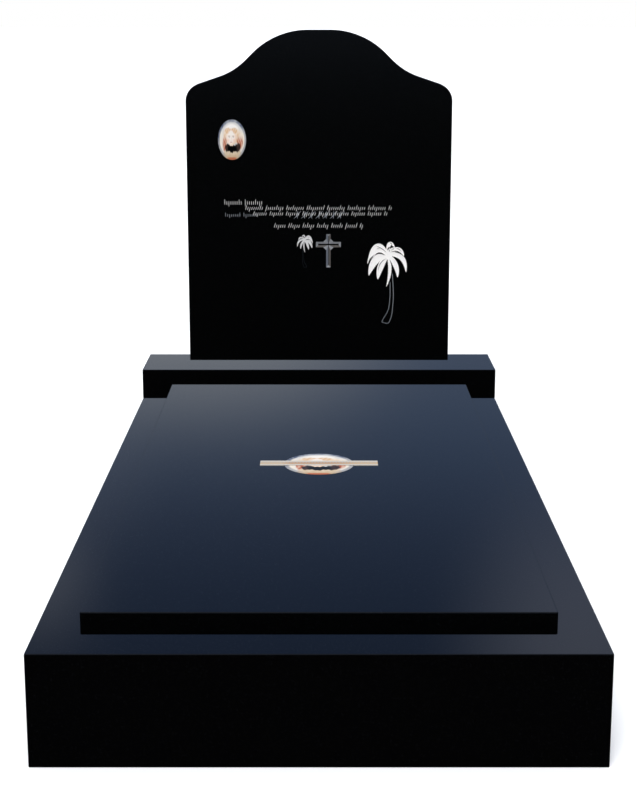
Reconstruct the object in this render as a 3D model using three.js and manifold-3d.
// A granite monument: base block, ledger slab, plinth and a serpentine headstone with sunk carving,
// two oval ceramic portraits and a name strip. Millimetres, +Z up, +X to the right of a person who
// faces the front. The origin is on the ground under the middle of the base.

import * as THREE from 'three';
import { mergeVertices } from 'three/addons/utils/BufferGeometryUtils.js';
import Module from 'manifold-3d';

// Base block and the plinth across its back
const baseWidth = 1200;
const baseLength = 2400;
const baseHeight = 250;
const plinthDepth = 250;
const plinthHeight = 100;
const blockArris = 2;
const blockCorner = 3;

// Ledger slab on the base
const ledgerMargin = 100;
const ledgerThickness = 50;
const ledgerJoint = 5;
const ledgerArris = 2.5;
const ledgerCorner = 4;

// Headstone: its block and the line of its head
const stoneWidth = 900;
const stoneHeight = 1130;
const stoneThickness = 80;
const stoneBackMargin = 20;
const stoneArris = 2;
const crownFlat = 76;
const crownRadius = 264;
const flankSlope = 44.75;
const hollowRadius = 246;
const shoulderSlope = 18.7;
const shoulderRadius = 61;
const shoulderDrop = 237;

// Sunk carving, measured from the stone's foot and middle line
const cutDepth = 1.5;
const strokeWidth = 2.2;
const letterPitch = 7;
const finestVein = 2.5;
const largePalm = { height: 289, x: 235, foot: 132, side: 1 };
const smallPalm = { height: 115, x: -48.5, foot: 328, side: -1 };
const cross = { x: 32.5, crossing: 407, up: 36, down: 79, reach: 42.5, shaft: 15.5, arm: 19, wedge: 10 };
const crossDepth = 3;
const crossBevel = 7.2;
const wedgeFade = 0.8;
const cutterReach = 2;

// Oval portraits and the name strip
const portraitWidth = 95;
const portraitHeight = 136;
const portraitSideMargin = 108;
const portraitBelowShoulder = 60;
const portraitRim = 2.5;
const portraitDome = 2;
const ledgerPortraitWidth = 194;
const ledgerPortraitLength = 203;
const ledgerPortraitOffset = 67.5;
const ledgerPortraitRim = 0.9;
const ledgerPortraitDome = 0.7;
const stripLength = 328;
const stripWidth = 43;
const stripThickness = 2.8;
const stripOffset = 4.5;
const stripArris = 0.5;
const stripCorner = 1;
const fitGap = 0.3;

// How finely rounds are divided
const arrisSteps = 2;
const cornerSteps = 3;
const outlineSteps = 12;
const shoulderSteps = 8;
const ovalSteps = 48;
const frondSteps = 7;
const veinSteps = 4;
const trunkSteps = 24;

const granite = { roughness: 0.15, metalness: 0 };
const blockGranite = new THREE.MeshStandardMaterial({ color: 0x0a0b0d, ...granite });
const stoneGranite = new THREE.MeshStandardMaterial({ color: 0x060708, ...granite });
const slabGranite = new THREE.MeshStandardMaterial({ color: 0x0d1016, ...granite });
const ceramic = new THREE.MeshStandardMaterial({ color: 0xd8cfc2, roughness: 0.2, metalness: 0 });
const stripCeramic = new THREE.MeshStandardMaterial({ color: 0xccc6be, roughness: 0.3, metalness: 0 });

const wasm = await Module();
wasm.setup();

const radians = THREE.MathUtils.degToRad;
const point = (x, y) => new THREE.Vector2(x, y);

// Turns a closed geometry into a solid that can be joined and cut.
function solidFrom(geometry) {
  const bare = geometry.clone();
  bare.deleteAttribute('normal');
  bare.deleteAttribute('uv');
  const merged = mergeVertices(bare);
  const mesh = new wasm.Mesh({
    numProp: 3,
    vertProperties: new Float32Array(merged.attributes.position.array),
    triVerts: new Uint32Array(merged.index.array),
  });
  return new wasm.Manifold(mesh);
}

// Turns a solid back into a geometry.
function geometryFrom(solid) {
  const mesh = solid.getMesh();
  const geometry = new THREE.BufferGeometry();
  geometry.setAttribute('position', new THREE.BufferAttribute(mesh.vertProperties, 3));
  geometry.setIndex(new THREE.BufferAttribute(mesh.triVerts, 1));
  geometry.computeVertexNormals();
  return geometry;
}

// Extrudes an outline from height 0 to the given height, with rounded arrises at both ends.
function dressed(outline, height, arris, curveSegments) {
  return new THREE.ExtrudeGeometry(outline, {
    depth: height - 2 * arris,
    bevelThickness: arris,
    bevelSize: arris,
    bevelOffset: -arris,
    bevelSegments: arrisSteps,
    curveSegments,
  }).translate(0, 0, arris);
}

function roundedRectangle(width, depth, corner) {
  const x = width / 2 - corner;
  const y = depth / 2 - corner;
  const outline = new THREE.Shape();
  outline.absarc(x, y, corner, 0, Math.PI / 2);
  outline.absarc(-x, y, corner, Math.PI / 2, Math.PI);
  outline.absarc(-x, -y, corner, Math.PI, 1.5 * Math.PI);
  outline.absarc(x, -y, corner, 1.5 * Math.PI, 2 * Math.PI);
  return outline;
}

// A block that lies on its underside, centred over the origin.
function block(width, depth, height, arris, corner) {
  return dressed(roundedRectangle(width, depth, corner), height, arris, cornerSteps);
}

// The outline of the headstone, drawn from its foot, symmetric about the middle line. A flat crown
// runs through a crown arc, a steep flank, a hollow arc and a low flank into the shoulder arc.
function stoneOutline() {
  const half = stoneWidth / 2;
  const steep = radians(flankSlope);
  const low = radians(shoulderSlope);
  const shoulder = point(half - shoulderRadius, stoneHeight - shoulderDrop);
  const crown = point(crownFlat / 2, stoneHeight - crownRadius);
  const onArc = (centre, radius, angle) =>
    point(centre.x + radius * Math.sin(angle), centre.y + radius * Math.cos(angle));
  const crownEnd = onArc(crown, crownRadius, steep);
  const shoulderStart = onArc(shoulder, shoulderRadius, low);

  // The corner where the two flanks would meet, and how long each flank is up to it.
  const rise = crownEnd.y - shoulderStart.y;
  const run = shoulderStart.x - crownEnd.x;
  const steepLength = (rise - run * Math.tan(low)) / (Math.sin(steep) - Math.cos(steep) * Math.tan(low));
  const corner = point(
    crownEnd.x + steepLength * Math.cos(steep),
    crownEnd.y - steepLength * Math.sin(steep),
  );
  const lowLength = corner.distanceTo(shoulderStart);
  const tangentShare = Math.tan((steep - low) / 2);
  const radius = Math.min(hollowRadius, Math.min(steepLength, lowLength) / tangentShare);
  const tangent = radius * tangentShare;
  const hollow = point(
    corner.x - tangent * Math.cos(steep) + radius * Math.sin(steep),
    corner.y + tangent * Math.sin(steep) + radius * Math.cos(steep),
  );

  const side = [point(half, 0)];
  for (let i = 0; i <= shoulderSteps; i += 1) {
    const angle = Math.PI / 2 + (low - Math.PI / 2) * (i / shoulderSteps);
    side.push(onArc(shoulder, shoulderRadius, angle));
  }
  for (let i = 0; i <= outlineSteps; i += 1) {
    side.push(onArc(hollow, -radius, low + (steep - low) * (i / outlineSteps)));
  }
  for (let i = 0; i <= outlineSteps; i += 1) {
    side.push(onArc(crown, crownRadius, steep * (1 - i / outlineSteps)));
  }
  const mirrored = side.map((p) => point(-p.x, p.y)).reverse();
  return new THREE.Shape([...side, ...mirrored]);
}

// A cutter with straight walls, from the cut's floor to just outside the stone's face.
function cutter(outline, depth) {
  const geometry = new THREE.ExtrudeGeometry(outline, { depth: depth + cutterReach, bevelEnabled: false });
  return solidFrom(geometry.translate(0, 0, stoneThickness - depth));
}

// The outline of a ribbon along a curve. Its half width at each station is given by a function of
// the share of the way along.
function ribbon(curve, halfWidth, steps) {
  const left = [];
  const right = [];
  for (let i = 0; i <= steps; i += 1) {
    const share = i / steps;
    const p = curve.getPoint(share);
    const t = curve.getTangent(share);
    const h = halfWidth(share);
    left.push(point(p.x - t.y * h, p.y + t.x * h));
    right.push(point(p.x + t.y * h, p.y - t.x * h));
  }
  if (halfWidth(1) === 0) right.pop();
  if (halfWidth(0) === 0) right.shift();
  return new THREE.Shape([...left, ...right.reverse()]);
}

// A palm tree cut into the stone: blades that droop from the heart of the crown, veins left standing
// in them, and a trunk that is only a line round its edge. All its shapes are shares of its height,
// and the blades and veins start at the heart. A palm whose side is -1 is the mirror image.
function palmCutters({ height, x, foot, side }) {
  const heart = [0.003, 0.827];
  const at = ([u, v]) => point(x + side * u * height, foot + v * height);
  const curveFromHeart = (...places) =>
    new THREE.QuadraticBezierCurve(...places.map(([u, v]) => at([heart[0] + u, heart[1] + v])));
  const blades = [
    { tip: [-0.237, -0.11], bend: [-0.141, 0.257], width: 0.064 },
    { tip: [-0.239, -0.092], bend: [-0.148, 0.112], width: 0.07 },
    { tip: [-0.221, -0.249], bend: [-0.164, -0.001], width: 0.098 },
    { tip: [-0.113, -0.296], bend: [-0.097, -0.127], width: 0.08 },
    { tip: [-0.011, -0.385], bend: [0.064, -0.172], width: 0.047 },
    { tip: [0.121, -0.272], bend: [0.126, -0.106], width: 0.066 },
    { tip: [0.222, -0.211], bend: [0.216, 0.039], width: 0.064 },
    { tip: [0.196, -0.016], bend: [0.141, 0.137], width: 0.06 },
    { tip: [0.088, 0.086], bend: [0.005, 0.22], width: 0.05 },
    { tip: [0.081, 0.094], bend: [0.048, 0.05], width: 0.07 },
  ];
  const veins = [
    { start: [-0.028, -0.005], bend: [-0.105, 0.051], end: [-0.152, -0.008], width: 0.0175 },
    { start: [0.025, 0.1], bend: [0.005, 0.079], end: [0.001, 0.054], width: 0.015 },
    { start: [0.037, 0.03], bend: [0.099, 0.068], end: [0.161, 0.019], width: 0.009 },
    { start: [0.028, -0.059], bend: [0.048, -0.096], end: [0.061, -0.154], width: 0.009 },
  ].filter(({ width }) => width * height > finestVein);
  const trunkEdge = [
    [0.037, 0.5],
    [0.037, 0.32],
    [0.026, 0.207],
    [0.008, 0.142],
    [-0.054, 0.026],
    [-0.036, 0.007],
    [0.015, 0],
    [0.044, 0.047],
    [0.062, 0.113],
    [0.07, 0.207],
    [0.077, 0.316],
    [0.073, 0.455],
    [0.062, 0.6],
  ];
  const bladeCuts = blades.map(({ tip, bend, width }) => {
    const fullest = (width * height) / 2;
    const halfWidth = (s) => (s === 1 ? 0 : fullest * Math.sin(Math.PI * (0.12 + 0.88 * s)) ** 0.7);
    return cutter(ribbon(curveFromHeart([0, 0], bend, tip), halfWidth, frondSteps), cutDepth);
  });
  const standing = veins.map(({ start, bend, end, width }) => {
    const halfWidth = (s) => (s === 0 || s === 1 ? 0 : ((width * height) / 2) * Math.sin(Math.PI * s));
    return cutter(ribbon(curveFromHeart(start, bend, end), halfWidth, veinSteps), 2 * cutDepth);
  });
  const crown = bladeCuts.reduce((all, one) => all.add(one));
  const trunkLine = new THREE.SplineCurve(trunkEdge.map(at));
  const trunk = cutter(ribbon(trunkLine, () => 0.0038 * height, trunkSteps), cutDepth);
  return [standing.reduce((all, one) => all.subtract(one), crown), trunk];
}

// The cross's outline, drawn in by an inset. The wedges in its corners shrink as it goes down.
function crossOutline(inset) {
  const { x, crossing, up, down, reach, shaft, arm, wedge } = cross;
  const w = shaft / 2 - inset;
  const a = arm / 2 - inset;
  const k = wedge * (1 - (wedgeFade * inset) / crossBevel);
  const right = [
    [w, inset - down],
    [w, -a - k],
    [w + k, -a],
    [reach - inset, -a],
    [reach - inset, a],
    [w + k, a],
    [w, a + k],
    [w, up - inset],
  ];
  const left = right.map(([u, v]) => [-u, v]).reverse();
  return [...right, ...left].map(([u, v]) => point(x + u, crossing + v));
}

// A cross sunk with sloping sides that nearly meet: rings of its outline from above the stone's
// face down to its narrow floor, with quads between them and a cap at each end.
function crossCutter() {
  const rings = [
    { outline: crossOutline(0), level: stoneThickness + cutterReach },
    { outline: crossOutline(0), level: stoneThickness },
    { outline: crossOutline(crossBevel), level: stoneThickness - crossDepth },
  ];
  const count = rings[0].outline.length;
  const last = (rings.length - 1) * count;
  const faces = THREE.ShapeUtils.triangulateShape(rings[0].outline, []);
  const floor = THREE.ShapeUtils.triangulateShape(rings[2].outline, []);
  faces.push(...floor.map(([a, b, c]) => [last + a, last + c, last + b]));
  for (let i = 0; i < last; i += 1) {
    const next = i - (i % count) + ((i + 1) % count);
    faces.push([i, i + count, next], [next, i + count, next + count]);
  }
  const points = rings.flatMap(({ outline, level }) => outline.flatMap((p) => [p.x, p.y, level]));
  const geometry = new THREE.BufferGeometry();
  geometry.setAttribute('position', new THREE.Float32BufferAttribute(points, 3));
  geometry.setIndex(faces.flat());
  return solidFrom(geometry);
}

// One row of an inscription: upright or slanted strokes in groups. Every stroke has the row's body
// height, and some reach up or down by a fixed pattern that spells nothing.
function rowCutters({ left, right, baseline, body, tall, slant, gapEvery }) {
  const cutters = [];
  const count = Math.floor((right - left - slant * tall) / letterPitch);
  for (let i = 0; i <= count; i += 1) {
    const group = i % gapEvery;
    if (group === gapEvery - 1) continue;
    const turn = (5 * i + 2 * Math.floor(i / gapEvery)) % 7;
    const top = baseline + (turn === 0 || group === 0 ? tall : body);
    const bottom = baseline - (turn === 3 ? tall - body : 0);
    const start = left + i * letterPitch;
    const foot = start + slant * (bottom - baseline);
    const head = start + slant * (top - baseline);
    const outline = new THREE.Shape([
      point(foot, bottom),
      point(foot + strokeWidth, bottom),
      point(head + strokeWidth, top),
      point(head, top),
    ]);
    cutters.push(cutter(outline, cutDepth));
  }
  return cutters;
}

// A row of tall bent strokes, thick in the middle, that crosses the others like a flourish.
function flourishCutters({ left, right, baseline, tall, count }) {
  const cutters = [];
  for (let i = 0; i < count; i += 1) {
    const foot = left + ((right - left - tall / 2) * i) / (count - 1);
    const bow = (i % 2 === 0 ? 1 : -1) * 0.22 * tall;
    const curve = new THREE.QuadraticBezierCurve(
      point(foot, baseline),
      point(foot + tall / 4 + bow, baseline + tall / 2),
      point(foot + tall / 2, baseline + tall),
    );
    const swell = (s) => (strokeWidth / 2) * (0.4 + 0.8 * Math.sin(Math.PI * s));
    cutters.push(cutter(ribbon(curve, swell, 4), cutDepth));
  }
  return cutters;
}

function inscriptionCutters() {
  const rows = [
    { left: -323, right: -195, baseline: 544, body: 13, tall: 19, slant: 0, gapEvery: 10 },
    { left: -321, right: -216, baseline: 503, body: 10, tall: 15, slant: 0, gapEvery: 9 },
    { left: -253, right: 255, baseline: 526, body: 11, tall: 17, slant: 0.3, gapEvery: 10 },
    { left: -226, right: 240, baseline: 507, body: 11, tall: 16, slant: 0.3, gapEvery: 8 },
    { left: -155, right: 158, baseline: 465, body: 11, tall: 17, slant: 0.3, gapEvery: 7 },
  ];
  const flourish = { left: -86, right: 87, baseline: 497, tall: 25, count: 14 };
  return [...rows.flatMap(rowCutters), ...flourishCutters(flourish)];
}

// The headstone as it is drawn: x to the right, y up, and its carved face at z = stoneThickness.
function headstone() {
  const body = solidFrom(dressed(stoneOutline(), stoneThickness, stoneArris, outlineSteps));
  const cutters = [
    ...inscriptionCutters(),
    ...palmCutters(largePalm),
    ...palmCutters(smallPalm),
    crossCutter(),
  ];
  const carving = cutters.reduce((all, one) => all.add(one));
  return geometryFrom(body.subtract(carving)).rotateX(Math.PI / 2);
}

// A domed oval plaque whose back is at y = 0 and whose dome swells towards +y.
function ovalPlaque(width, length, rim, dome) {
  const profile = [point(0, 0), point(1, 0), point(1, rim)];
  for (const r of [0.95, 0.8, 0.5, 0]) profile.push(point(r, rim + dome * (1 - r * r)));
  return new THREE.LatheGeometry(profile, ovalSteps).scale(width / 2, 1, length / 2);
}

// The name strip, rebated below so that it passes over the oval portrait with a small gap. It lies
// a little further back than the portrait's middle.
function nameStrip() {
  const acrossOval = ledgerPortraitWidth / 2 + fitGap;
  const alongOval = ledgerPortraitLength / 2 + fitGap;
  const oval = new THREE.Shape();
  oval.absellipse(0, -stripOffset, acrossOval, alongOval, 0, 2 * Math.PI);
  const rebate = ledgerPortraitRim + ledgerPortraitDome + fitGap;
  const below = 1;
  const tool = new THREE.ExtrudeGeometry(oval, {
    depth: rebate + below,
    bevelEnabled: false,
    curveSegments: ovalSteps,
  }).translate(0, 0, -below);
  const strip = block(stripLength, stripWidth, stripThickness, stripArris, stripCorner);
  return geometryFrom(solidFrom(strip).subtract(solidFrom(tool)));
}

// Places along the monument, from the front (-Y) to the back (+Y), and upwards.
const ledgerLength = baseLength - ledgerMargin - ledgerJoint - plinthDepth;
const ledgerMiddle = ledgerMargin + ledgerLength / 2 - baseLength / 2;
const ledgerTop = baseHeight + ledgerThickness;
const plinthMiddle = (baseLength - plinthDepth) / 2;
const plinthTop = baseHeight + plinthHeight;
const stoneBack = baseLength / 2 - stoneBackMargin;
const stoneFront = stoneBack - stoneThickness;
const portraitX = portraitSideMargin + portraitWidth / 2 - stoneWidth / 2;
const portraitZ = plinthTop + stoneHeight - shoulderDrop - portraitBelowShoulder - portraitHeight / 2;
const ledgerPortraitY = ledgerMiddle + ledgerPortraitOffset;

const monument = new THREE.Group();

function place(name, geometry, material, x, y, z) {
  const mesh = new THREE.Mesh(geometry, material);
  mesh.name = name;
  mesh.position.set(x, y, z);
  monument.add(mesh);
}

const baseBlock = block(baseWidth, baseLength, baseHeight, blockArris, blockCorner);
place('base_block', baseBlock, blockGranite, 0, 0, 0);

const ledgerWidth = baseWidth - 2 * ledgerMargin;
const ledger = block(ledgerWidth, ledgerLength, ledgerThickness, ledgerArris, ledgerCorner);
place('ledger_slab', ledger, slabGranite, 0, ledgerMiddle, baseHeight);

const plinth = block(baseWidth, plinthDepth, plinthHeight, blockArris, blockCorner);
place('headstone_plinth', plinth, blockGranite, 0, plinthMiddle, baseHeight);

place('headstone', headstone(), stoneGranite, 0, stoneBack, plinthTop);

const portrait = ovalPlaque(portraitWidth, portraitHeight, portraitRim, portraitDome).rotateX(Math.PI);
place('headstone_portrait', portrait, ceramic, portraitX, stoneFront, portraitZ);

const flatPortrait = ovalPlaque(
  ledgerPortraitWidth,
  ledgerPortraitLength,
  ledgerPortraitRim,
  ledgerPortraitDome,
).rotateX(Math.PI / 2);
place('ledger_portrait', flatPortrait, ceramic, 0, ledgerPortraitY, ledgerTop);
place('name_strip', nameStrip(), stripCeramic, 0, ledgerPortraitY + stripOffset, ledgerTop);

export default monument;
